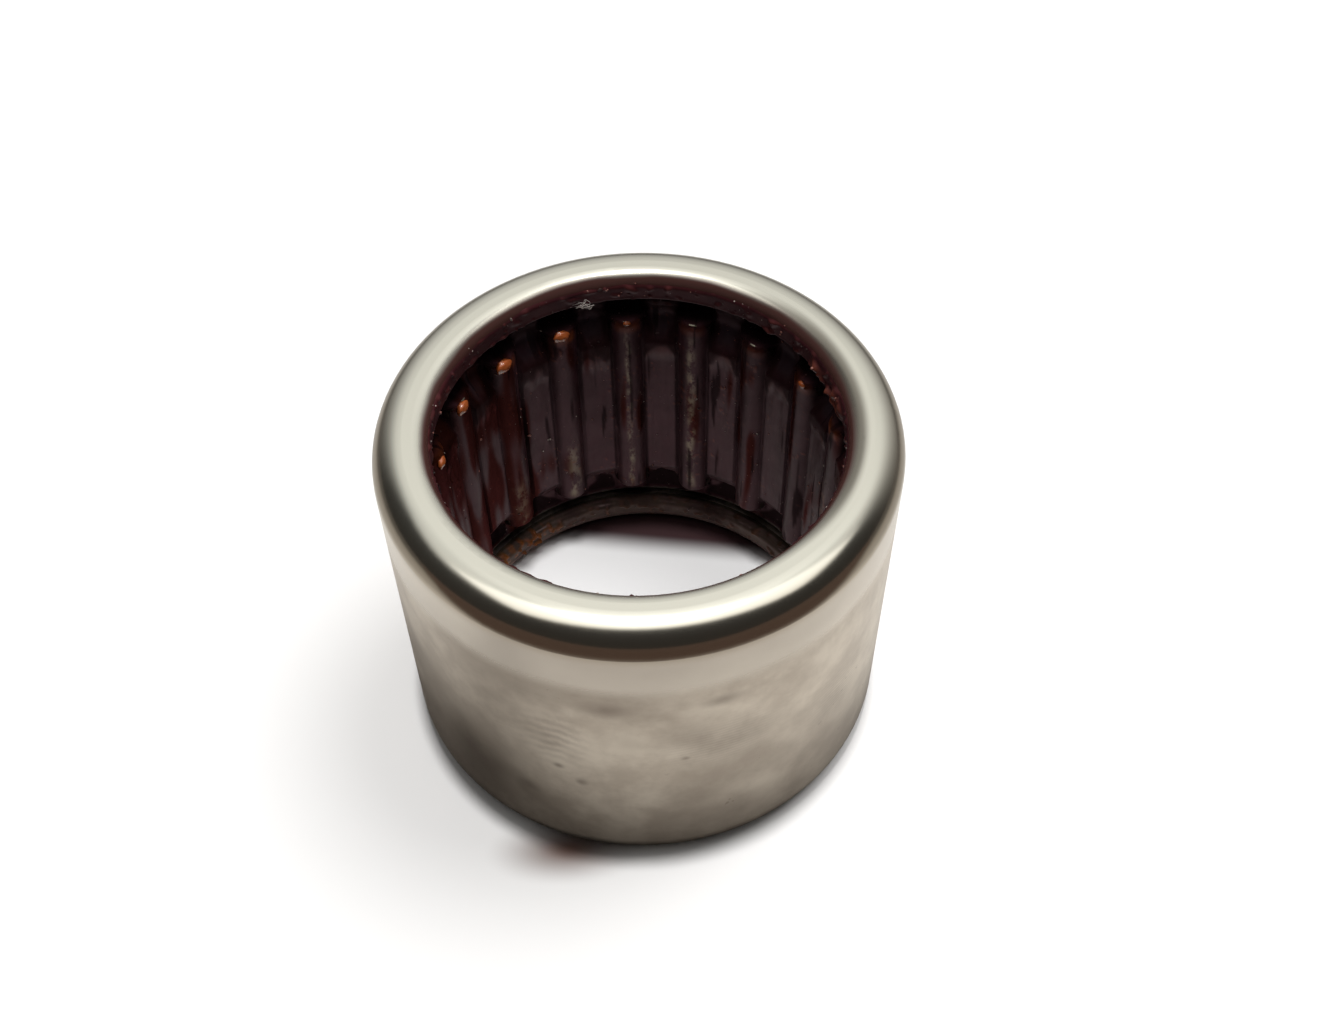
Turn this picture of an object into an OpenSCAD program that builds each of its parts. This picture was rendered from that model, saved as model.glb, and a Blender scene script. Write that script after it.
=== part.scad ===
// Drawn cup needle roller bearing with open ends.
// A thin pressed cup holds one row of caged needle rollers, and a shaft runs straight on the needles.
// The origin is the centre of the lower end face, and +Z runs along the bearing's axis.

/* [Cup] */
// Diameter of the shaft that runs on the needles
shaft_d = 20; // [20:0.5:22]
// Width of the cup over both lips
cup_w = 20; // [20:1:30]
// Thickness of the drawn cup's wall
wall_t = 0.98; // [0.9:0.02:1.2]
// Thickness of the curled lips, along the axis
lip_t = 1.6; // [1.4:0.1:1.6]
// Gap between the shaft and the lips, on the radius
lip_gap = 0.15; // [0.1:0.05:0.2]
// Outer corner radius where the wall turns into a lip
bend_r = 1.6; // [1.2:0.1:1.6]
// Corner radius at the mouth of the bore
mouth_r = 0.8; // [0.6:0.1:0.8]

/* [Needles] */
// Diameter of one needle
needle_d = 2; // [2:0.05:2.1]
// Length of one needle
needle_l = 13.8; // [11.8:0.5:13.8]
// Corner radius at each end of a needle
needle_round = 0.4; // [0.2:0.1:0.6]
// Gap between needle and raceway, on the radius
race_gap = 0.02; // [0.01:0.01:0.03]

/* [Cage] */
// Thickness of the cage's sheet
sheet_t = 0.3; // [0.25:0.05:0.3]
// Length of the inner, middle stretch of each bar
bar_l = 10.4; // [8.4:0.2:10.6]
// Half-width of a window beside the middle stretch, where the bars keep the needle in
keep_w = 0.96; // [0.96:0.01:0.98]
// Gap beside a needle at the wide ends of its window
window_gap = 0.04; // [0.03:0.01:0.06]

/* [Hidden] */
needle_n = 18;
pitch_a = 360 / needle_n;
first_a = pitch_a / 2;

shaft_r = shaft_d / 2;
needle_r = needle_d / 2;
pitch_r = shaft_r + needle_r;
race_r = pitch_r + needle_r + race_gap;
cup_r = race_r + wall_t;
lip_r = shaft_r + lip_gap;
mid_z = cup_w / 2;
inside_round = 0.5;     // inside corner between the cup's wall and a lip
lip_edge_round = 0.3;   // inner edge of a lip, on the cage's side

bar_gap = 0.36;         // between the shaft and the bars
ring_lift = 0.15;       // how far the end rings' inside lies beyond the pitch circle
step_l = 0.8;           // axial run of the step from bar to ring
cage_end_gap = 0.25;    // between the cage and a lip
needle_end_gap = 0.13;  // between a needle's end and its window
bar_r = shaft_r + bar_gap;
ring_r = pitch_r + ring_lift;
cage_half = mid_z - lip_t - cage_end_gap;
window_half = needle_l / 2 + needle_end_gap;
wide_w = needle_r + window_gap;
wide_z = bar_l / 2 - 0.2;

function needle_name(i) = str("needle_", i < 10 ? "0" : "", i);

$fn = 96;

// What a rounding of radius r takes off a corner that points to -X and +Y
module corner_waste(r) {
    difference() {
        translate([0, -r]) square(r);
        translate([r, -r]) circle(r);
    }
}

// Rectangle from corner a to corner b, with radius ra on the two corners at a's side and rb at b's
module rounded_section(a, b, ra, rb) {
    corners = [[a.x, b.y, ra], [a.x, a.y, ra], [b.x, a.y, rb], [b.x, b.y, rb]];
    difference() {
        translate(a) square(b - a);
        for (i = [0:3])
            translate([corners[i].x, corners[i].y]) rotate(90 * i) corner_waste(corners[i].z);
    }
}

// Half section of the cup: wall and lips, less the channel for the needles
module cup_section() {
    difference() {
        rounded_section([lip_r, 0], [cup_r, cup_w], mouth_r, bend_r);
        rounded_section(
            [lip_r - 2, lip_t], [race_r, cup_w - lip_t], inside_round, inside_round
        );
        translate([lip_r, lip_t]) corner_waste(lip_edge_round);
        translate([lip_r, cup_w - lip_t]) rotate(90) corner_waste(lip_edge_round);
    }
}

module cup() {
    color([0.66, 0.64, 0.60])
        rotate_extrude(convexity = 6)
            cup_section();
}

// Section of the cage's sheet about the middle of the cup: ring, step, bar, step, ring
module cage_section() {
    inside = [
        [ring_r, -cage_half], [ring_r, -bar_l / 2 - step_l], [bar_r, -bar_l / 2],
        [bar_r, bar_l / 2], [ring_r, bar_l / 2 + step_l], [ring_r, cage_half]
    ];
    outside = [for (i = [5:-1:0]) inside[i] + [sheet_t, 0]];
    polygon(concat(inside, outside));
}

// Window for one needle, seen from the axis: narrow beside the bars, wide at both ends
module window_outline() {
    square([2 * keep_w, 2 * window_half], center = true);
    for (side = [-1, 1])
        translate([0, side * (window_half + wide_z) / 2])
            square([2 * wide_w, window_half - wide_z], center = true);
}

module cage() {
    color([0.42, 0.33, 0.32])
        translate([0, 0, mid_z])
            difference() {
                rotate_extrude(convexity = 6) cage_section();
                for (i = [1:needle_n])
                    rotate(first_a + (i - 1) * pitch_a)
                        translate([bar_r - 1, 0, 0])
                            rotate([90, 0, 90])
                                linear_extrude(cup_r - bar_r) window_outline();
            }
}

// Needle i, counted round the axis from +X
module needle(i) {
    a = first_a + (i - 1) * pitch_a;
    color([0.55, 0.53, 0.49])
        translate([pitch_r * cos(a), pitch_r * sin(a), mid_z - needle_l / 2])
            rotate_extrude()
                difference() {
                    rounded_section(
                        [-needle_r, 0], [needle_r, needle_l], needle_round, needle_round
                    );
                    translate([-2 * needle_r, -1]) square([2 * needle_r, needle_l + 2]);
                }
}

cup();
cage();
for (i = [1:needle_n])
    needle(i);
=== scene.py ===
# Drawn cup needle roller bearing with open ends: a pressed cup, a sheet cage and a row of needles,
# packed with red-brown grease. Lengths are in millimetres times MM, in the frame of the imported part.
import math

import bmesh
import bpy
from mathutils import Matrix, Vector
from mathutils.noise import noise as lattice_noise


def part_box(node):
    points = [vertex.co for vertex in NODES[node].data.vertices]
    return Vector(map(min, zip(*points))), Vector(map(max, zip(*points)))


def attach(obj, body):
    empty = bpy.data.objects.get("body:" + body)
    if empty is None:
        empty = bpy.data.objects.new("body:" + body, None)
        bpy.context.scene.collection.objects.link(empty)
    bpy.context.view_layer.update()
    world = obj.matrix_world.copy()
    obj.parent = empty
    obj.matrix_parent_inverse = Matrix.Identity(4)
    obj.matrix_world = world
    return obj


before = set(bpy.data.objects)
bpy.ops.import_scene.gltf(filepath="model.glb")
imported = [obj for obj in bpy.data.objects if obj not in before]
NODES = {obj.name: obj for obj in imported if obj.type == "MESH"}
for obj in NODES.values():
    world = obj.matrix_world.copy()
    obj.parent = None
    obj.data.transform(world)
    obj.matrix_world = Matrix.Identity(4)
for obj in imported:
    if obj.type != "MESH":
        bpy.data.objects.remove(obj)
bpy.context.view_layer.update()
MM = 0.001


# ---- Cup ---------------------------------------------------------------------------------------
# Outer ring drawn from steel strip. Both ends are curled in to make lips, and the outside is ground
# below a smooth band that the grinding wheel doesn't reach. Handling has left smudges and prints.
# Shade is painted on the wall low on the left and at its foot, and on the upper lip's outer bend.

class Wire:
    """One output of a node. Arithmetic on wires adds Math nodes."""

    def __init__(self, nodes, socket):
        self.nodes = nodes
        self.socket = socket

    def math(self, operation, *others):
        return self.nodes.arithmetic(operation, self, *others)

    def __add__(self, other):
        return self.math("ADD", other)

    def __sub__(self, other):
        return self.math("SUBTRACT", other)

    def __rsub__(self, other):
        return self.nodes.arithmetic("SUBTRACT", other, self)

    def __mul__(self, other):
        return self.math("MULTIPLY", other)

    __radd__ = __add__
    __rmul__ = __mul__


class NodeTree:
    """Nodes in one tree, each made by one method."""

    prefix = "ShaderNode"

    def __init__(self, tree):
        self.tree = tree

    def node(self, kind, settings=None, values=(), out=0):
        """Adds a node: its settings first, then its sockets by number or name. Gives output out."""
        made = self.tree.nodes.new(self.prefix + kind)
        for name, value in (settings or {}).items():
            setattr(made, name, value)
        pairs = values.items() if isinstance(values, dict) else enumerate(values)
        for key, value in pairs:
            self.feed(made.inputs[key], value)
        return Wire(self, made.outputs[out]) if made.outputs else made

    def feed(self, socket, value):
        if isinstance(value, Wire):
            self.tree.links.new(value.socket, socket)
        elif isinstance(value, tuple) and socket.type == "RGBA":
            socket.default_value = (*value, 1)
        else:
            socket.default_value = value

    def arithmetic(self, operation, *values):
        kind = "Math" if self.prefix else "ShaderNodeMath"
        return self.node(kind, {"operation": operation}, values)

    def split(self, vector):
        return [self.node("SeparateXYZ", values=[vector], out=axis) for axis in range(3)]

    def dot(self, vector, other):
        return self.node("VectorMath", {"operation": "DOT_PRODUCT"}, [vector, other], out="Value")

    def step(self, value, low, high):
        """0 below low and 1 above high, with a smooth rise between them."""
        return self.node("MapRange", {"interpolation_type": "SMOOTHSTEP"}, [value, low, high, 0.0, 1.0])

    def mix(self, share, first, second):
        """Two colours mixed: the first where share is 0."""
        return self.node("Mix", {"data_type": "RGBA"}, {0: share, 6: first, 7: second}, out=2)


class Finish(NodeTree):
    """A material that ends in one Principled BSDF, whose fixed inputs are given by name."""

    def __init__(self, name, **fixed):
        self.material = bpy.data.materials.new(name)
        self.material.use_nodes = True
        super().__init__(self.material.node_tree)
        self.shader = self.tree.nodes["Principled BSDF"]
        for socket, value in fixed.items():
            self.shader.inputs[socket.replace("_", " ")].default_value = value

    def place(self):
        """Object coordinates, in metres from the part's origin."""
        return self.node("TexCoord", out="Object")

    def stretched(self, vector, by):
        return self.node("VectorMath", {"operation": "MULTIPLY"}, [vector, by])

    def noise(self, vector, scale, detail=2.0, roughness=0.5):
        return self.node("TexNoise", values={
            "Vector": vector, "Scale": scale, "Detail": detail, "Roughness": roughness})

    def spot(self, place, centre, reach):
        """1 at a centre and 0 at an ellipsoid's surface round it. Both are in millimetres."""
        scale = tuple(1 / (MM * r) for r in reach)
        shift = tuple(-c / r for c, r in zip(centre, reach))
        scaled = self.node("VectorMath", {"operation": "MULTIPLY_ADD"}, [place, scale, shift])
        away = self.node("VectorMath", {"operation": "LENGTH"}, [scaled], out="Value")
        return self.step(away, 1.0, 0.0)

    def away_from(self, place, x, y):
        """Distance from the upright line through this point, which is in millimetres."""
        moved = self.node("VectorMath", {"operation": "MULTIPLY_ADD"}, [
            place, (1, 1, 0), (-x * MM, -y * MM, 0)])
        return self.node("VectorMath", {"operation": "LENGTH"}, [moved], out="Value")

    def bump(self, height, strength, distance):
        normal = self.node("Bump", values={"Height": height, "Strength": strength, "Distance": distance})
        self.feed(self.shader.inputs["Normal"], normal)

    def finish(self, **wires):
        for socket, value in wires.items():
            self.feed(self.shader.inputs[socket.replace("_", " ")], value)
        return self.material


def coat_with(node, material):
    """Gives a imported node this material."""
    mesh = NODES[node].data
    mesh.materials.clear()
    mesh.materials.append(material)


CUP_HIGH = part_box("cup")[1]
CUP_R = CUP_HIGH.x / MM
CUP_W = CUP_HIGH.z / MM
MIDDLE = CUP_W / 2
LIP_T = 1.6                 # thickness of a lip, along the axis
LIP_R = 10.15               # inside radius of a lip
BAND = 4.2                  # the smooth band reaches this far below the upper face


def finger_print(steel, place, centre, reach, spacing, flatten):
    """Fine curved lines inside an oval, as the skin of a finger leaves them: 0 to 1, and 0 outside."""
    mask = steel.spot(place, centre, reach)
    below = 3.5 * reach[2]      # the lines curve round a point this far below the oval's middle
    moved = steel.node("VectorMath", {"operation": "MULTIPLY_ADD"}, [
        place, (1, 1, flatten), (-centre[0] * MM, 0, (below - centre[2]) * MM * flatten)])
    rings_per_unit = 0.31       # a wave texture of scale 1 has this many rings in one unit
    ridges = steel.node("TexWave", {"wave_type": "RINGS", "rings_direction": "Y"}, {
        "Vector": moved, "Scale": rings_per_unit / (spacing * MM), "Distortion": 2.2, "Detail": 2.0,
        "Detail Scale": 1.2}, out=1)
    return mask * ridges


# centre, reach and strength of each smudge on the outside; the two largest, low on the left, are painted
# shade for the shadowed card that the wall mirrors there
SMUDGES_AND_SHADE = (
    ((-2.6, -12.8, 14.3), (1.9, 3.0, 0.9), 0.55),
    ((3.0, -12.6, 14.4), (1.5, 3.0, 0.7), 0.5),
    ((-3.9, -12.4, 7.3), (0.5, 3.0, 0.5), 0.7),
    ((-5.0, -12.0, 8.4), (0.4, 3.0, 0.35), 0.6),
    ((-6.6, -11.2, 5.0), (1.0, 2.5, 1.3), 0.8),
    ((-9.4, -9.0, 5.5), (3.5, 6.0, 5.5), 0.6),
    ((-11.5, -6.0, 9.5), (3.0, 5.0, 3.0), 0.3),
    ((1.2, -13.0, 9.8), (0.35, 3.0, 0.25), 0.6),
)
# centre, reach, spacing of the lines and how flat they lie, for each print
PRINTS = (
    ((-5.2, -11.9, 10.8), (2.6, 3.0, 3.6), 0.34, 0.55),
    ((3.2, -12.6, 10.6), (4.4, 3.0, 3.0), 0.36, 1.6),
    ((9.4, -9.0, 9.0), (3.2, 4.0, 3.6), 0.34, 1.3),
    ((-10.5, 8.0, 9.0), (3.2, 4.0, 3.6), 0.34, 1.3),
)


def cup_steel():
    steel = Finish("cup_steel", Metallic=1.0)
    place = steel.place()
    x, _, z = steel.split(place)
    height = z * (1 / MM)
    flat_place = steel.stretched(place, (1, 1, 0))
    radius = steel.node("VectorMath", {"operation": "LENGTH"}, [flat_place], out="Value") * (1 / MM)

    warp = steel.noise(place, 260, 2)
    edge = height + 0.5 * (warp - 0.5)
    ground = 1 - steel.step(edge, CUP_W - BAND - 0.7, CUP_W - BAND + 0.5)
    lip = steel.step(height, CUP_W - LIP_T - 0.7, CUP_W - LIP_T + 0.3)
    crown = steel.step(height, CUP_W - 0.7, CUP_W - 0.3)

    mottle = steel.noise(place, 330, 4, 0.62)
    cloud = steel.noise(steel.stretched(place, (1, 1, 1.3)), 95, 3, 0.55)
    lines = steel.noise(steel.stretched(place, (1, 1, 9)), 1500, 3, 0.65)
    fine = steel.noise(place, 3200, 2, 0.6)
    wall = steel.mix(steel.step(mottle, 0.3, 0.7), (0.46, 0.40, 0.335), (0.64, 0.575, 0.49))
    wall = steel.mix(steel.step(cloud, 0.46, 0.68) * 0.5, wall, (0.27, 0.225, 0.185))
    band = steel.mix(steel.step(cloud, 0.4, 0.7), (0.60, 0.545, 0.475), (0.52, 0.47, 0.41))
    colour = steel.mix(ground, band, wall)
    colour = steel.mix(lip, colour, (0.62, 0.565, 0.50))
    colour = steel.mix(crown, colour, (0.635, 0.62, 0.535))
    # painted shade: the upper lip's outer bend is painted darker and browner, for the darker
    # surroundings it mirrors
    shaded_shoulder = steel.step(radius, CUP_R - 1.35, CUP_R - 0.1) * lip
    colour = steel.mix(shaded_shoulder, colour, (0.39, 0.335, 0.26))

    # smudges that fingers and the workshop left, and painted shade low on the left of the wall
    for centre, reach, share in SMUDGES_AND_SHADE:
        smudge_and_shade = steel.spot(place, centre, reach) * steel.step(mottle + 0.35 * warp, 0.42, 0.78) * share
        colour = steel.mix(smudge_and_shade, colour, (0.13, 0.095, 0.075))

    # specks of rust, thickest on the right of the wall and near its foot
    rust = steel.step(steel.noise(place, 1300, 3, 0.7), 0.655, 0.70)
    corroded = steel.spot(place, (10.5, -7.5, 5.5), (6, 6, 6))
    few = steel.step(steel.noise(place, 420, 1), 0.55, 0.72)
    rust = rust * (corroded * 0.8 + few * 0.45) * ground
    colour = steel.mix(rust, colour, (0.10, 0.055, 0.03))
    # painted shade: the wall is darkened towards its foot, where it meets the card
    shaded_foot = steel.step(height, 1.5, 0.2)
    colour = steel.mix(shaded_foot * 0.35, colour, (0.10, 0.06, 0.045))

    # a finger has left ridges of skin grease in several places
    prints = sum(finger_print(steel, place, *each) for each in PRINTS)
    colour = steel.mix(prints * 0.32, colour, (0.34, 0.31, 0.28))

    # grease has crept over the inner edge of both lips, and is smeared further on the right
    smear = steel.step(x, 4 * MM, 10 * MM) * steel.step(height, MIDDLE, CUP_W)
    faint = 1 - steel.step(radius - 0.35 * smear, LIP_R + 0.25, LIP_R + 0.75)
    colour = steel.mix(faint * 0.8 * smear, colour, (0.10, 0.085, 0.065))
    inner = 1 - steel.step(radius + 0.25 * (warp - 0.5), LIP_R + 0.18, LIP_R + 0.52)
    colour = steel.mix(inner, colour, (0.075, 0.032, 0.027))

    grain = ground * (0.10 + 0.16 * (lines - 0.5))
    rough = 0.24 + grain + 0.06 * (mottle - 0.5) + 0.10 * prints - 0.05 * lip
    steel.bump(
        ground * (lines * 0.5 + mottle * 0.3 + fine * 0.4 + prints * 0.35) + 0.12 * cloud + 0.05 * fine,
        0.22, 0.025 * MM)
    return steel.finish(Base_Color=colour, Roughness=rough, Metallic=1 - 0.8 * inner)


coat_with("cup", cup_steel())


# ---- Needles -----------------------------------------------------------------------------------
# Hardened and ground rollers with rounded ends. A thin film of dark grease hides most of the steel,
# and specks of worn metal and carbon stick to it.

NEEDLES = sorted(name for name in NODES if name.startswith("needle"))
NEEDLE_LOW, NEEDLE_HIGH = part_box(NEEDLES[0])
NEEDLE_R = (NEEDLE_HIGH - NEEDLE_LOW).x / MM / 2
NEEDLE_Z = (NEEDLE_LOW.z / MM, NEEDLE_HIGH.z / MM)
PITCH_R = ((NEEDLE_LOW + NEEDLE_HIGH) / 2).xy.length / MM
PITCH = 2 * math.pi / len(NEEDLES)
NEEDLE_CORNER = 0.4         # rounding of a needle's ends


def needle_steel():
    steel = Finish("needle_steel", Metallic=1.0, Coat_IOR=1.45, Coat_Roughness=0.12)
    place = steel.place()
    long_place = steel.stretched(place, (1, 1, 0.25))
    greasy = steel.step(steel.noise(long_place, 420, 3), 0.40, 0.62)
    lines = steel.noise(steel.stretched(place, (1, 1, 12)), 1600, 2)
    colour = steel.mix(greasy, (0.14, 0.125, 0.085), (0.08, 0.06, 0.05))
    specks = steel.step(steel.noise(place, 2600, 2, 0.7), 0.66, 0.72)
    specks = specks * steel.step(steel.noise(place, 300, 1), 0.42, 0.62)
    colour = steel.mix(specks, colour, (0.03, 0.012, 0.008))
    steel.bump(lines * 0.4 + specks, 0.2, 0.02 * MM)
    return steel.finish(Base_Color=colour, Roughness=0.30 + 0.1 * lines, Coat_Weight=1.0)


needle_finish = needle_steel()
for needle in NEEDLES:
    coat_with(needle, needle_finish)


# ---- Cage --------------------------------------------------------------------------------------
# Sleeve pressed from thin steel sheet, with a window for each needle and bars stepped inwards. It is
# wet with grease, which stains it brown.

def cage_steel():
    steel = Finish("cage_steel", Metallic=0.8, Coat_IOR=1.45, Coat_Roughness=0.12)
    place = steel.place()
    greasy = steel.step(steel.noise(place, 300, 3), 0.35, 0.65)
    colour = steel.mix(greasy, (0.13, 0.105, 0.11), (0.07, 0.035, 0.038))
    return steel.finish(Base_Color=colour, Roughness=0.38, Coat_Weight=1.0)


coat_with("cage", cage_steel())


# ---- Grease on the cage ------------------------------------------------------------------------
# Red-brown grease clings to the bars and fills the grooves beside the needles, flush with them. It
# is wiped thin on the needles, hangs in drips from the bars' upper ends and leaves hollows below.

CAGE_Z = tuple(corner.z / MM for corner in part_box("cage"))
BAR_R = 10.36               # inner face of the bars
RING_R = 11.15              # inner face of the end rings
BAR_END = 5.2               # half-length of the inner stretch of a bar
STEP = 0.8                  # axial run from bar to ring
WINDOW = 0.96               # half-width of a window beside the bars
WINDOW_END = NEEDLE_Z[1] - MIDDLE + 0.13
CLEAR = 20                  # a radius outside the bearing, where there is nothing to cling to
AWAY = 8                    # how steeply the film leaves an edge that it can't follow
DRAWN_BACK = 16.8           # above this height the film draws back over the needles' ends
FILM_BACK = 11.9            # radius of the film's back, which the cage and needles hide
COLUMNS_PER_PITCH = 38
ROW = 0.125                 # spacing of the film's rows
# needles wiped nearly clean: the height up to which they are bare, and half the bare angle
BARE = {5: (16.0, 1.1), 4: (16.0, 1.6), 7: (7.2, 3.0), 6: (8.0, 2.2), 1: (12.0, 1.6), 13: (9.0, 2.4),
        10: (14.0, 1.4), 16: (6.0, 2.6)}
# for each place on the grease, how much it is dark and matt (largely painted shade), amber, wiped thin
# over steel, given a painted bluish sheen, and clear red
TONES = ("dark", "orange", "thin", "pale", "red")


def ease(value, low, high):
    """0 below low and 1 above high, or the other way round where low is above high."""
    share = min(max((value - low) / (high - low), 0.0), 1.0)
    return share * share * (3 - 2 * share)


def soft_min(first, second, width):
    """The smaller of two lengths, with the corner between them rounded over this width."""
    share = max(width - abs(first - second), 0.0) / width
    return min(first, second) - share * share * width / 4


def blotch(angle, z, round_it, along, seed):
    """Smooth noise from -1 to 1 on the bore, with patches this long round it and along it."""
    r = PITCH_R / round_it
    return lattice_noise(Vector((r * math.cos(angle), r * math.sin(angle), z / along + seed * 7.3)))


def needle_front(aside, offset, z):
    """Radius of a needle's face on the line at this angle, with its rounded ends."""
    from_end = min(z - NEEDLE_Z[0], NEEDLE_Z[1] - z)
    if from_end < 0:
        return CLEAR - from_end
    dip = NEEDLE_CORNER - math.sqrt(max(NEEDLE_CORNER ** 2 - max(NEEDLE_CORNER - from_end, 0) ** 2, 0))
    r = NEEDLE_R - dip
    over = max(r * r - aside * aside, 0)
    return PITCH_R * math.cos(offset) - math.sqrt(over) + AWAY * max(abs(aside) - r, 0)


def cage_front(aside, up):
    """Radius of the cage's inner face at this height above or below the middle."""
    step = min(max((abs(up) - BAR_END) / STEP, 0), 1)
    face = BAR_R + (RING_R - BAR_R) * step
    if abs(up) < WINDOW_END:
        face += AWAY * max(WINDOW - abs(aside), 0)
    return face


class Patch:
    """A place on the film: where it lies among needles and bars, and how uneven the grease is there."""

    def __init__(self, angle, z):
        self.angle = angle
        self.z = z
        self.up = z - MIDDLE
        turns = angle / PITCH - 0.5
        self.index = round(turns) % len(NEEDLES)
        self.offset = (turns - round(turns)) * PITCH
        self.aside = PITCH_R * math.sin(self.offset)
        self.from_bar = (math.radians(10) - abs(self.offset)) / math.radians(5)
        bar_side = math.floor(turns + 0.5) + (0.5 if self.offset > 0 else -0.5)
        self.own = lattice_noise(Vector((self.index * 3.7, 1.3, 0.2)))
        self.bar_own = lattice_noise(Vector((bar_side * 2.9, 4.4, 8.1)))
        self.wide = blotch(angle, z, 1.6, 3.2, 1)
        self.small = blotch(angle, z, 0.55, 0.9, 2)
        self.streak = blotch(angle, z, 0.5, 6.0, 3)
        self.run = blotch(angle, z, 0.3, 4.5, 6)


def wiped(at):
    """How bare a needle is, from 0 to 1."""
    top, half = BARE.get(at.index + 1, (0, 1))
    wander = 0.5 * math.radians(half) * blotch(at.angle, at.z, 3.0, 1.6, 4)
    round_it = ease(abs(at.offset + wander), math.radians(half * 1.3), math.radians(half * 0.3))
    along = ease(at.z + 1.5 * at.small, top + 1.0, top - 1.0)
    along *= ease(at.z, NEEDLE_Z[0], NEEDLE_Z[0] + 0.8)
    return round_it * along


def hanging(at):
    """Share of a drip that hangs from a bar's upper end."""
    drip_end = 14.2 - 1.6 * abs(at.bar_own) + 0.7 * at.streak
    return ease(at.z, drip_end - 0.5, drip_end + 0.5) * ease(abs(at.up), BAR_END + STEP + 0.4, BAR_END)


def fill_level(at, over_end):
    """Radius up to which grease fills the grooves. It draws back over the needles' upper ends."""
    level = 10.50 + 0.07 * at.small + 0.05 * at.streak
    level += 0.75 * ease(abs(at.up), BAR_END + 0.2, BAR_END + 1.6)
    if at.z > DRAWN_BACK:
        level += (min(LIP_R + 2.4 * (at.z - DRAWN_BACK), 11.2) - level) * over_end
    return level


def film(angle, z):
    """The grease on the cage at one place: its radius, and its tones."""
    at = Patch(angle, z)
    bare = wiped(at)
    on_needle = 0.018 + 0.022 * at.wide + 0.012 * at.small + 0.015 * at.own + 0.012 * at.run
    on_needle = 0.012 + max(on_needle - 0.012, 0) * (1 - bare)
    drip = hanging(at)
    on_cage = 0.05 + 0.035 * at.wide + 0.02 * at.small + 0.03 * at.streak + 0.14 * drip + 0.02 * at.run

    over_end = ease(abs(at.offset + 0.01 * at.wide), math.radians(7.0), math.radians(4.8))
    pocket = ease(z, 16.78, 17.0) * over_end
    web = ease(z, 17.0, 17.9) * (1 - pocket) * (0.45 + 0.25 * at.wide)
    lobe = 4.0 + 1.8 * at.bar_own - 1.0 * at.from_bar ** 2 + 1.0 * at.wide + 0.7 * at.small
    hollow = ease(z, lobe + 0.2, lobe - 0.15) * ease(z, 1.9, 2.3)

    ground = cage_front(at.aside, at.up)
    face = soft_min(needle_front(at.aside, at.offset, z) - on_needle, ground - on_cage, 0.16)
    face = soft_min(face, fill_level(at, over_end), 0.18)
    face = min(face - web + 0.4 * hollow, ground - 0.02)
    grit = max(blotch(angle, z, 0.22, 0.22, 5) - 0.42, 0) * 0.25 * ease(at.wide, -0.2, 0.5)
    return face - grit, film_tones(at, bare, drip, max(pocket, hollow), grit)


def film_tones(at, bare, drip, shaded_recess, grit):
    """Painted shade deep in recesses, beside the needles, under the upper lip and on the bars above
    their sheen, among darker runs of grease; a painted bluish sheen on the steps above the bars; orange
    at the needles' tips, red on the left.
    """
    z = at.z
    left = ease(math.cos(at.angle - math.radians(158)), 0.70, 0.97)
    red = ease(0.8 * at.wide + 0.8 * at.streak + 0.75 * left, 0.3, 0.8)
    # painted sheen: a bluish reflection of the sky is painted on the wet steps above the bars' upper
    # ends
    pale = ease(z, 15.2, 15.8) * ease(z, 17.2, 16.6) * ease(at.from_bar + 0.5 * at.small, 0.8, 0.3)

    # painted shade: dark in the grooves beside the needles, in the pockets over their ends and the
    # hollows at the bars' lower ends, under the upper lip and on each bar above a rounded line; the runs
    # are darker grease
    groove = ease(abs(abs(at.offset) - math.radians(4.9)), math.radians(1.1), math.radians(0.1))
    finger = 14.7 + 1.4 * at.bar_own - 0.9 * at.from_bar ** 2 + 0.6 * at.streak + 0.45 * at.small
    above = ease(z, finger, finger + 0.5) * ease(at.from_bar, 1.3, 1.0)
    dark = max(
        0.95 * groove * (0.7 + 0.6 * at.streak), shaded_recess, 0.8 * ease(z, 17.3, 18.2),
        (0.7 + 0.3 * at.small) * above * (1 - pale), 0.3 * red,
        0.75 * ease(at.run + 0.2 * at.wide, 0.36, 0.52))

    tip = ease(abs(z - 16.45), 0.50, 0.10) * ease(abs(at.offset), math.radians(4.8), math.radians(2.6))
    on_bar = ease(abs(at.offset), math.radians(4.6), math.radians(6.0))
    orange = max(
        tip * min(max(0.35 + 1.0 * at.own, 0.22), 0.9), 0.12 * drip * on_bar * (0.6 + at.small),
        0.10 * red, min(grit * 20, 0.3))

    thin = 0
    if abs(at.aside) < NEEDLE_R:
        thin = bare * min(max(0.8 + 0.9 * at.small + 0.5 * at.streak, 0), 1)
    return {"dark": min(dark, 1.0), "orange": min(orange, 1.0), "thin": thin,
            "pale": pale * (0.7 + 0.5 * at.small), "red": red}


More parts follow.
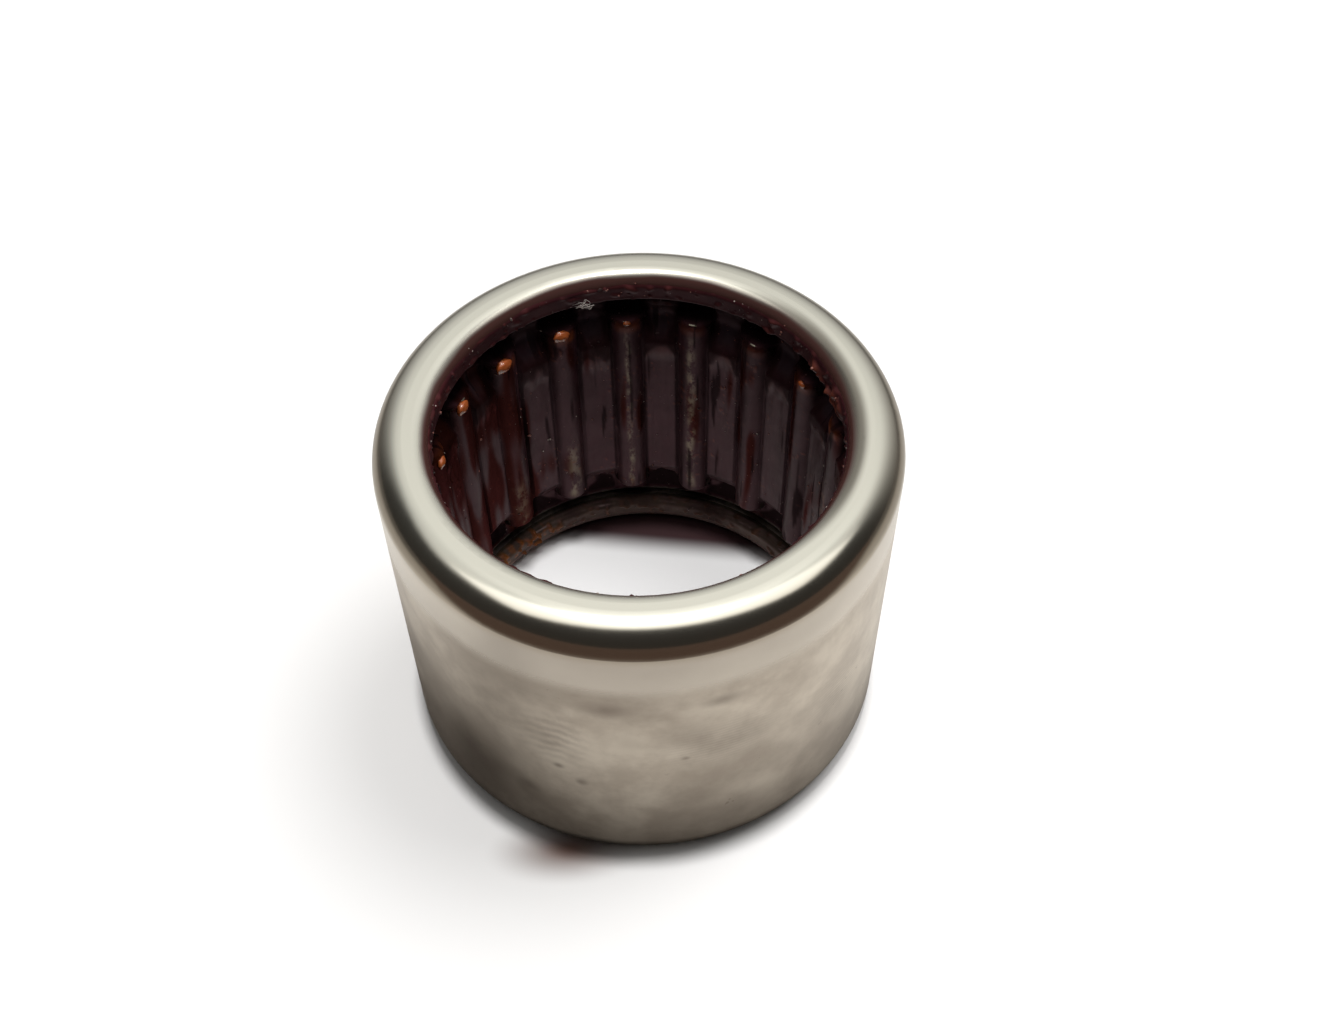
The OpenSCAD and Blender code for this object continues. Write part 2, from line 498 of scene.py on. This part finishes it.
def skin_of_grease(name, low, high, row, columns, back_r, film_at):
    """A closed ring of grease: its inner face is film_at(angle, z) and its back a plain cylinder."""
    mesh = bpy.data.meshes.new(name)
    form = bmesh.new()
    layers = {tone: form.verts.layers.float.new(tone) for tone in TONES}
    rows = round((high - low) / row)
    rings = []
    for j in range(rows + 1):
        z = low + (high - low) * j / rows
        ring = []
        for i in range(columns):
            angle = 2 * math.pi * i / columns
            r, tones = film_at(angle, z)
            r = min(r, back_r - 0.02)
            vertex = form.verts.new((r * math.cos(angle) * MM, r * math.sin(angle) * MM, z * MM))
            for tone, value in tones.items():
                vertex[layers[tone]] = value
            ring.append(vertex)
        rings.append(ring)
    for z in (high, low):
        rings.append([
            form.verts.new((back_r * math.cos(a) * MM, back_r * math.sin(a) * MM, z * MM))
            for a in (2 * math.pi * i / columns for i in range(columns))])
    rings.append(rings[0])
    for lower, upper in zip(rings, rings[1:]):
        for i in range(columns):
            k = (i + 1) % columns
            form.faces.new((lower[i], upper[i], upper[k], lower[k]))
    bmesh.ops.recalc_face_normals(form, faces=form.faces)
    form.to_mesh(mesh)
    form.free()
    mesh.shade_smooth()
    piece = bpy.data.objects.new(name, mesh)
    bpy.context.scene.collection.objects.link(piece)
    return piece


def grease_look(name, plain, deep, amber):
    """Wet grease: plain where it is thin, amber where light gets through it, and given the deep colour
    where the dark tone says, which is mostly painted shade in hollows, with a painted bluish sheen where
    the pale tone says.
    """
    grease = Finish(name, IOR=1.43, Specular_Tint=(0.83, 0.36, 0.455, 1.0))
    place = grease.place()
    dark, orange, thin, pale, red = (
        grease.node("Attribute", {"attribute_name": tone}, out="Fac") for tone in TONES)
    streaks = grease.noise(grease.stretched(place, (1, 1, 0.2)), 900, 3, 0.6)
    patches = grease.noise(place, 380, 3, 0.6)
    colour = grease.mix(grease.step(patches, 0.38, 0.66), plain[0], plain[1])
    colour = grease.mix(grease.step(streaks, 0.5, 0.72) * 0.6, colour, plain[2])
    # painted sheen: the bluish reflection on the steps
    colour = grease.mix(pale * 0.8, colour, (0.040, 0.040, 0.050))
    colour = grease.mix(red * 0.85, colour, (0.034, 0.0045, 0.003))
    flecks = grease.noise(grease.stretched(place, (1, 1, 0.6)), 1900, 3, 0.7)
    steel_shows = thin * grease.step(flecks, 0.40, 0.60)
    colour = grease.mix(steel_shows, colour, (0.20, 0.17, 0.13))
    colour = grease.mix(orange, colour, amber)
    # painted shade, with some darker grease: the deep colour wherever the dark tone says
    colour = grease.mix(dark, colour, deep)
    specks = grease.step(grease.noise(place, 2800, 2, 0.7), 0.70, 0.74)
    colour = grease.mix(specks * 0.6, colour, (0.12, 0.085, 0.08))
    grease.bump(streaks * 0.4 + patches * 0.4 + specks * 0.4, 0.25, 0.04 * MM)
    rough = 0.45 + 0.12 * (patches - 0.5) - 0.2 * orange + 0.5 * dark
    shine = steel_shows * 0.7 + red * 0.75
    return grease.finish(Base_Color=colour, Roughness=rough, Metallic=shine)


def finish_grease(piece, body, material):
    piece.data.materials.clear()
    piece.data.materials.append(material)
    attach(piece, body)


bore_grease = grease_look(
    "bore_grease", plain=((0.036, 0.012, 0.016), (0.022, 0.007, 0.009), (0.048, 0.022, 0.025)),
    deep=(0.003, 0.0015, 0.0015), amber=(0.22, 0.055, 0.014))
film_piece = skin_of_grease(
    "grease_film", CAGE_Z[0] + 0.1, CAGE_Z[1] - 0.02, ROW, COLUMNS_PER_PITCH * len(NEEDLES),
    FILM_BACK, film)
finish_grease(film_piece, "cage", bore_grease)


# ---- Grease on the lips ------------------------------------------------------------------------
# A wine-red collar of grease, lumpy and full of specks, lines the upper lip. The lower lip carries a
# thinner, greyer ring of it with bits of dried amber.

UNDER_R = 0.3               # rounding of a lip's inner edge, towards the needles
MOUTH_R = 0.8               # rounding of its outer edge
COLLAR_BACK = LIP_R + 0.7   # radius of a collar's back, inside the lip
COLLAR_COLUMNS = 900


def lip_face(up):
    """Radius of a lip's inner side at a height above its underside, with both edges rounded."""
    if up < UNDER_R:
        return LIP_R + UNDER_R - math.sqrt(max(UNDER_R ** 2 - (UNDER_R - up) ** 2, 0))
    if up > MOUTH_R:
        return LIP_R + MOUTH_R - math.sqrt(max(MOUTH_R ** 2 - (up - MOUTH_R) ** 2, 0))
    return LIP_R


def upper_collar(angle, z):
    up = z - (CUP_W - LIP_T)
    wide = blotch(angle, z, 1.8, 1.6, 11)
    small = blotch(angle, z, 0.7, 0.5, 12)
    thick = ease(up, 1.12 + 0.12 * wide, 0.85 + 0.12 * wide)
    lump = max(small - 0.2, 0) * 0.25 + max(blotch(angle, z, 0.24, 0.22, 13) - 0.48, 0) * 0.45
    bead = 0.10 * ease(abs(up + 0.02), 0.30, 0.05)
    turned = math.cos(angle - math.radians(14))
    scab = ease(turned, 0.972, 0.992) * ease(small + wide, -0.5, 0.5) * ease(abs(up - 0.3), 0.55, 0.2)
    face = lip_face(max(up, 0)) + 0.03 - thick * (0.07 + 0.03 * wide + lump + bead + 0.22 * scab)
    # painted shade: the dark tone darkens the collar's lowest edge, under the lip
    return face, {"dark": 0.45 * ease(up, 0.25, -0.1), "orange": min(lump * 1.6 + 0.8 * scab, 0.8)}


def lower_collar(angle, z):
    up = LIP_T - z
    wide = blotch(angle, z, 1.8, 1.6, 21)
    small = blotch(angle, z, 0.4, 0.3, 22)
    thick = ease(up, 0.95, 0.7)
    lump = max(small - 0.2, 0) * 0.35
    left = ease(math.cos(angle - math.radians(136)), 0.93, 0.985)
    flake = 0.12 * ease(small, 0.1, 0.5) * left
    face = lip_face(max(up, 0)) + 0.03 - thick * (0.05 + 0.03 * wide + lump + flake)
    amber = lump * 2 + 0.9 * left * ease(small, -0.1, 0.3)
    return face, {"dark": 0.5 * ease(wide, 0.1, 0.6), "orange": min(amber, 1.0)}


collar_grease = grease_look(
    "collar_grease", plain=((0.046, 0.011, 0.012), (0.030, 0.008, 0.010), (0.055, 0.020, 0.020)),
    deep=(0.006, 0.002, 0.002), amber=(0.13, 0.035, 0.02))
upper = skin_of_grease(
    "grease_upper_lip", CUP_W - LIP_T - 0.12, CUP_W - 0.45, 0.06, COLLAR_COLUMNS, COLLAR_BACK,
    upper_collar)
finish_grease(upper, "cup", collar_grease)

dull_grease = grease_look(
    "dull_grease", plain=((0.060, 0.046, 0.032), (0.036, 0.027, 0.020), (0.085, 0.07, 0.052)),
    deep=(0.010, 0.006, 0.004), amber=(0.20, 0.07, 0.02))
lower = skin_of_grease(
    "grease_lower_lip", 0.62, LIP_T + 0.12, 0.07, COLLAR_COLUMNS, COLLAR_BACK, lower_collar)
finish_grease(lower, "cup", dull_grease)


# ---- Beads, crumbs and fluff -------------------------------------------------------------------
# Beads of clear amber grease have gathered on some needles' upper ends. Crumbs of dried grease and worn
# metal stick all over the wet bore, and a wisp of fluff has caught under the upper lip.

class Assembly(NodeTree):
    """A Geometry Nodes tree with named inputs. Its nodes' types are given in full."""

    prefix = ""

    def __init__(self, name, **inputs):
        super().__init__(bpy.data.node_groups.new(name, "GeometryNodeTree"))
        face = self.tree.interface
        face.new_socket("Geometry", in_out="INPUT", socket_type="NodeSocketGeometry")
        for title, kind in inputs.items():
            face.new_socket(title, in_out="INPUT", socket_type="NodeSocket" + kind)
        face.new_socket("Geometry", in_out="OUTPUT", socket_type="NodeSocketGeometry")
        self.given = self.tree.nodes.new("NodeGroupInput")

    def input(self, title):
        return Wire(self, self.given.outputs[title])

    def end(self, instances):
        real = self.node("GeometryNodeRealizeInstances", values=[instances])
        smooth = self.node("GeometryNodeSetShadeSmooth", values={"Geometry": real})
        done = self.node("GeometryNodeSetMaterial", values={
            "Geometry": smooth, "Material": self.input("material")})
        self.node("NodeGroupOutput", values=[done])


def grow(assembly, guide, name, **inputs):
    """Runs a tree on a guide mesh and keeps what comes out as a plain mesh of its own."""
    modifier = guide.modifiers.new(name, "NODES")
    modifier.node_group = assembly.tree
    for item in assembly.tree.interface.items_tree:
        if item.in_out == "INPUT" and item.name in inputs:
            modifier[item.identifier] = inputs[item.name]
    shown = guide.evaluated_get(bpy.context.evaluated_depsgraph_get())
    mesh = bpy.data.meshes.new_from_object(shown)
    guide.modifiers.remove(modifier)
    piece = bpy.data.objects.new(name, mesh)
    bpy.context.scene.collection.objects.link(piece)
    return piece


def crumb_assembly():
    """Crumbs of random size and turn, scattered over the faces that look to the bearing's axis."""
    crumbs = Assembly(
        "crumbs", density="Float", seed="Int", smallest="Float", largest="Float", low="Float",
        high="Float", material="Material")
    outwards = crumbs.node("ShaderNodeVectorMath", {"operation": "MULTIPLY"}, [
        crumbs.node("GeometryNodeInputPosition"), (1, 1, 0)])
    facing = crumbs.node("ShaderNodeVectorMath", {"operation": "DOT_PRODUCT"}, [
        crumbs.node("GeometryNodeInputNormal"), outwards], out="Value")
    height = crumbs.node("ShaderNodeSeparateXYZ", values=[
        crumbs.node("GeometryNodeInputPosition")], out=2)
    outside = (crumbs.input("low") - height).math("MAXIMUM", height - crumbs.input("high"))
    barred = facing + 1000 * outside.math("MAXIMUM", 0.0)
    inside = crumbs.node("FunctionNodeCompare", {"operation": "LESS_THAN"}, [barred, -0.004])
    points = crumbs.node("GeometryNodeDistributePointsOnFaces", values={
        "Mesh": crumbs.input("Geometry"), "Selection": inside,
        "Density": crumbs.input("density"), "Seed": crumbs.input("seed")})
    crumb = crumbs.node("GeometryNodeMeshIcoSphere", values={"Radius": 1.0, "Subdivisions": 1})
    turn = crumbs.node("FunctionNodeRandomValue", {"data_type": "FLOAT_VECTOR"}, {
        0: (0, 0, 0), 1: (6.28, 6.28, 6.28), "Seed": 3})
    longer = crumbs.node("FunctionNodeRandomValue", {"data_type": "FLOAT_VECTOR"}, {
        0: (0.5, 0.5, 0.5), 1: (1, 1, 1.6), "Seed": 4})
    size = crumbs.node("FunctionNodeRandomValue", {"data_type": "FLOAT"}, {
        2: 0.0, 3: 1.0, "Seed": 5}, out=1).math("POWER", 3.0)
    size = crumbs.input("smallest") + size * (crumbs.input("largest") - crumbs.input("smallest"))
    scale = crumbs.node("ShaderNodeVectorMath", {"operation": "SCALE"}, {0: longer, "Scale": size})
    crumbs.end(crumbs.node("GeometryNodeInstanceOnPoints", values={
        "Points": points, "Instance": crumb, "Rotation": turn, "Scale": scale}))
    return crumbs


def crumb_look():
    crumb = Finish("crumbs", Specular_Tint=(1.0, 0.8, 0.75, 1.0))
    place = crumb.place()
    kind = crumb.noise(place, 700, 0)
    colour = crumb.mix(crumb.step(kind, 0.42, 0.50), (0.22, 0.09, 0.07), (0.02, 0.010, 0.010))
    colour = crumb.mix(crumb.step(kind, 0.55, 0.58), colour, (0.42, 0.35, 0.31))
    return crumb.finish(Base_Color=colour, Roughness=0.4 - 0.2 * kind)


crumbs = crumb_assembly()
crumb_finish = crumb_look()
SMALLEST_CRUMB = 0.02
# the grease they stick to, its body, crumbs in a square metre, seed, largest crumb, and the heights
# between which they lie, which keep those on the cage clear of those on the cup
CRUMBS = (
    (film_piece, "cage", 0.6e6, 4, 0.095, 2.2, 17.9),
    (upper, "cup", 2.2e6, 7, 0.12, 18.55, 20),
    (lower, "cup", 1.6e6, 9, 0.10, 0, 1.45),
)
for grease, body, density, seed, largest, low, high in CRUMBS:
    sprinkled = grow(crumbs, grease, grease.name + "_crumbs", density=density, seed=seed,
                     smallest=SMALLEST_CRUMB * MM, largest=largest * MM, low=low * MM, high=high * MM,
                     material=crumb_finish)
    finish_grease(sprinkled, body, crumb_finish)


def bead_assembly():
    """One rounded bead at each point of the guide, as large as the point's size says."""
    beads = Assembly("beads", depth="Float", width="Float", height="Float", material="Material")
    ball = beads.node("GeometryNodeMeshIcoSphere", values={"Radius": 1.0, "Subdivisions": 4})
    ripple = beads.node("ShaderNodeTexNoise", values={"Scale": 1.3, "Detail": 2.0}, out=1)
    ripple = beads.node("ShaderNodeVectorMath", {"operation": "MULTIPLY_ADD"}, [
        ripple, (0.5, 0.5, 0.5), (-0.25, -0.25, -0.25)])
    blob = beads.node("GeometryNodeSetPosition", values={"Geometry": ball, "Offset": ripple})
    size = beads.node("GeometryNodeInputNamedAttribute", {"data_type": "FLOAT"}, ["size"])
    shape = beads.node("ShaderNodeCombineXYZ", values=[
        beads.input("depth"), beads.input("width"), beads.input("height")])
    scale = beads.node("ShaderNodeVectorMath", {"operation": "SCALE"}, {0: shape, "Scale": size})
    inwards = beads.node("ShaderNodeVectorMath", {"operation": "MULTIPLY"}, [
        beads.node("GeometryNodeInputPosition"), (-1, -1, 0)])
    turn = beads.node("FunctionNodeAlignRotationToVector", {"axis": "X"}, {"Vector": inwards})
    beads.end(beads.node("GeometryNodeInstanceOnPoints", values={
        "Points": beads.input("Geometry"), "Instance": blob, "Rotation": turn, "Scale": scale}))
    return beads


# needle number, how far round from its middle in degrees, height, and size of each bead
BEADS = (
    (7, 1.5, 16.62, 1.0), (6, 0.7, 16.70, 0.9), (8, 1.5, 16.55, 0.9), (9, 1.5, 16.2, 0.8),
    (5, 0.0, 16.75, 0.4), (2, -1.0, 16.6, 0.5), (14, 0.5, 16.6, 0.6), (11, 0.0, 16.7, 0.4),
    (17, 1.0, 16.6, 0.5),
)
BEAD_R = PITCH_R - NEEDLE_R + 0.06      # radius on which the beads' middles lie


def amber_look():
    amber = Finish("amber_bead", IOR=1.47, Coat_IOR=1.5, Coat_Roughness=0.03)
    place = amber.place()
    cloudy = amber.noise(place, 1500, 2)
    colour = amber.mix(cloudy, (0.42, 0.11, 0.03), (0.26, 0.055, 0.014))
    amber.bump(amber.noise(place, 1800, 2), 0.3, 0.05 * MM)
    return amber.finish(Base_Color=colour, Roughness=0.2, Coat_Weight=0.5)


def bead_guide():
    """A mesh of loose points, one for each bead."""
    mesh = bpy.data.meshes.new("bead_guide")
    places, sizes = [], []
    for number, aside, z, size in BEADS:
        angle = (number - 0.5) * PITCH + math.radians(aside)
        places.append((BEAD_R * math.cos(angle) * MM, BEAD_R * math.sin(angle) * MM, z * MM))
        sizes.append(size)
    mesh.from_pydata(places, [], [])
    mesh.attributes.new("size", "FLOAT", "POINT").data.foreach_set("value", sizes)
    guide = bpy.data.objects.new("bead_guide", mesh)
    bpy.context.scene.collection.objects.link(guide)
    return guide


amber_finish = amber_look()
guide = bead_guide()
beads = grow(bead_assembly(), guide, "grease_beads", depth=0.26 * MM, width=0.52 * MM,
             height=0.40 * MM, material=amber_finish)
bpy.data.objects.remove(guide)
finish_grease(beads, "cage", amber_finish)


FLUFF_AT = (-2.25, 9.72, 18.65)     # under the back of the upper lip
FLUFF_REACH = (0.9, 0.35, 0.5)      # how far the fibres wander
FIBRES = 7
FIBRE_R = 0.013
FIBRE_STEPS = 9


def fibre_point(fibre, step):
    return Vector(FLUFF_AT) + Vector(
        reach * lattice_noise(Vector((fibre * 5.1, step * 0.3, axis * 9.7)))
        for axis, reach in enumerate(FLUFF_REACH))


def fluff():
    """A wisp of pale fibres, each a thin bent tube, caught in the grease."""
    form = bmesh.new()
    for fibre in range(FIBRES):
        path = [fibre_point(fibre, step) for step in range(FIBRE_STEPS)]
        rings = []
        for step in range(FIBRE_STEPS):
            along = path[min(step + 1, FIBRE_STEPS - 1)] - path[max(step - 1, 0)]
            side = along.cross(Vector((0.3, 0.9, 0.2))).normalized() * FIBRE_R
            over = along.cross(side).normalized() * FIBRE_R
            rings.append([
                form.verts.new((path[step] + turned) * MM) for turned in (side, over, -side, -over)])
        for ring, following in zip(rings, rings[1:]):
            for i in range(4):
                k = (i + 1) % 4
                form.faces.new((ring[i], ring[k], following[k], following[i]))
        form.faces.new(rings[0])
        form.faces.new(rings[-1])
    bmesh.ops.recalc_face_normals(form, faces=form.faces)
    mesh = bpy.data.meshes.new("grease_fluff")
    form.to_mesh(mesh)
    form.free()
    piece = bpy.data.objects.new("grease_fluff", mesh)
    bpy.context.scene.collection.objects.link(piece)
    return piece


def fluff_look():
    fibres = Finish("fluff")
    tone = fibres.noise(fibres.place(), 1200, 1)
    colour = fibres.mix(tone, (0.62, 0.57, 0.52), (0.34, 0.28, 0.25))
    return fibres.finish(Base_Color=colour, Roughness=0.7)


finish_grease(fluff(), "cup", fluff_look())


# ---- Table, light and camera -------------------------------------------------------------------
# The bearing stands on white card under a broad soft box and a small lamp, both nearly overhead,
# with a wide lamp to the right. Shadows are painted on the card, and glossy rays see a painted darker
# table and painted shade round it.

def table():
    mesh = bpy.data.meshes.new("table")
    half = 1.5      # metres
    mesh.from_pydata(
        [(-half, -half, 0), (half, -half, 0), (half, half, 0), (-half, half, 0)], [], [(0, 1, 2, 3)])
    card = bpy.data.objects.new("table", mesh)
    bpy.context.scene.collection.objects.link(card)
    paint = Finish("card", Roughness=0.8, Specular_IOR_Level=0.2)
    place = paint.place()
    away = paint.node("VectorMath", {"operation": "LENGTH"}, [place], out="Value")
    x, y, _ = paint.split(place)

    # what the steel mirrors, painted for glossy rays only: a painted bright card near it, painted shade
    # in front, beside and beyond, and a painted contact shadow at its foot
    near = paint.step(away, 40 * MM, 20 * MM)
    in_front = paint.step(away, 23 * MM, 33 * MM) * paint.step(y, -8 * MM, -20 * MM)
    beside = paint.spot(place, (-14.5, -11.5, 0), (8.5, 8.5, 9))
    beyond = paint.spot(place, (-19, 20, 0), (10, 9, 9))
    beyond = beyond + 0.5 * paint.spot(place, (19, 20, 0), (10, 9, 9))
    contact = paint.step(paint.away_from(place, -2.0, -0.6), 20 * MM, 13.0 * MM)
    contact = contact * paint.step(away, 10.5 * MM, 12.5 * MM)
    far = paint.step(away, 40 * MM, 140 * MM)
    painted_reflection = paint.mix(near, (0.52, 0.51, 0.49), (0.80, 0.78, 0.74))
    painted_reflection = paint.mix(far, painted_reflection, (0.12, 0.115, 0.11))
    painted_reflection = paint.mix(in_front, painted_reflection, (0.105, 0.073, 0.062))
    painted_reflection = paint.mix(beside * 0.45, painted_reflection, (0.10, 0.088, 0.08))
    painted_reflection = paint.mix(beyond * 0.85, painted_reflection, (0.12, 0.095, 0.06))
    painted_reflection = paint.mix(contact * 0.92, painted_reflection, (0.03, 0.022, 0.018))

    # what the eye sees: white, painted a little brighter inside the bore, with a painted warm shadow at
    # the foot on the front left and a painted shadow at the bore's far side
    white = paint.mix(paint.step(away, 11 * MM, 13 * MM), (0.96, 0.955, 0.95), (0.91, 0.90, 0.89))
    painted_contact_shadow = paint.spot(place, (-4.9, -12.2, 0), (4.8, 2.3, 3))
    white = paint.mix(painted_contact_shadow, white, (0.17, 0.105, 0.085))
    painted_bore_shadow = paint.step(y + 0.2 * x, 7.2 * MM, 9.1 * MM) * paint.step(away, 12 * MM, 11 * MM)
    white = paint.mix(painted_bore_shadow, white, (0.045, 0.020, 0.022))

    glossy = paint.node("LightPath", out="Is Glossy Ray")
    paint.finish(Base_Color=paint.mix(glossy, white, painted_reflection))
    mesh.materials.append(paint.material)


def towards(tilt, azimuth):
    """Unit vector at this tilt from straight up, leaning towards this azimuth."""
    tilt, azimuth = math.radians(tilt), math.radians(azimuth)
    return math.sin(tilt) * math.cos(azimuth), math.sin(tilt) * math.sin(azimuth), math.cos(tilt)


def lamp(name, power, width, place):
    """A distant lamp in that direction, this many degrees wide."""
    data = bpy.data.lights.new(name, "SUN")
    data.energy = power
    data.angle = math.radians(width)
    made = bpy.data.objects.new(name, data)
    made.rotation_euler = Vector(place).to_track_quat("Z", "Y").to_euler()
    bpy.context.scene.collection.objects.link(made)
    return made


def studio():
    world = bpy.data.worlds.new("studio")
    bpy.context.scene.world = world
    world.use_nodes = True
    world.node_tree.nodes.clear()
    sky = NodeTree(world.node_tree)
    direction = sky.node("TexCoord", out="Generated")
    x, y, z = sky.split(direction)
    degrees = 180 / math.pi

    # a soft box overhead, leaning forwards, with the lit wall and ceiling behind it
    sideways = x.math("ARCTAN2", z) * degrees - 4
    backwards = y.math("ARCTAN2", z) * degrees + 6.5
    soft_box = 1.8 * sky.step(sideways.math("ABSOLUTE"), 47, 37) * sky.step(
        backwards.math("ABSOLUTE"), 25, 13)
    elevation = z.math("ARCSINE") * degrees
    level = sky.node("VectorMath", {"operation": "NORMALIZE"}, [
        sky.node("VectorMath", {"operation": "MULTIPLY"}, [direction, (1, 1, 0)])])
    behind = sky.step(sky.dot(level, towards(90, 78)), 0.25, 0.95)
    wall = (0.35 + 0.0135 * elevation) * behind
    ceiling = 0.85 * sky.step(elevation, 38, 54) * sky.step(y, -0.15, 0.2)
    light = soft_box.math("MAXIMUM", wall.math("MAXIMUM", ceiling)) + 0.055

    # the backdrop is plain white, and surfaces that scatter light get less of it than mirrors do
    camera_ray = sky.node("LightPath", out="Is Camera Ray")
    diffuse_ray = sky.node("LightPath", out="Is Diffuse Ray")
    strength = light * (1 - camera_ray) * (1 - 0.7 * diffuse_ray) + camera_ray
    back = sky.node("Background", values={"Color": (1.0, 0.995, 0.985), "Strength": strength})
    sky.node("OutputWorld", values=[back])

    lamp("small_lamp", power=1.95, width=3.0, place=towards(1.6, 76))
    lamp("side_light", power=1.35, width=30, place=towards(25, 26)).visible_glossy = False


def camera():
    data = bpy.data.cameras.new("camera")
    data.sensor_width = 36
    data.lens = 42.17
    data.shift_y = 0.0377
    data.clip_start = 0.001
    eye = bpy.data.objects.new("camera", data)
    bpy.context.scene.collection.objects.link(eye)
    # it looks down from in front, turned and rolled a little
    turn, down, roll = math.radians(3.70), math.radians(52.17), math.radians(-0.93)
    facing = Matrix.Rotation(-turn, 4, "Z") @ Matrix.Rotation(math.pi / 2 - down, 4, "X")
    stand = Matrix.Translation(Vector((-2.23, -51.07, 75.06)) * MM)
    eye.matrix_world = stand @ facing @ Matrix.Rotation(roll, 4, "Z")
    bpy.context.scene.camera = eye


table()
studio()
camera()
bpy.context.scene.view_settings.view_transform = "Standard"
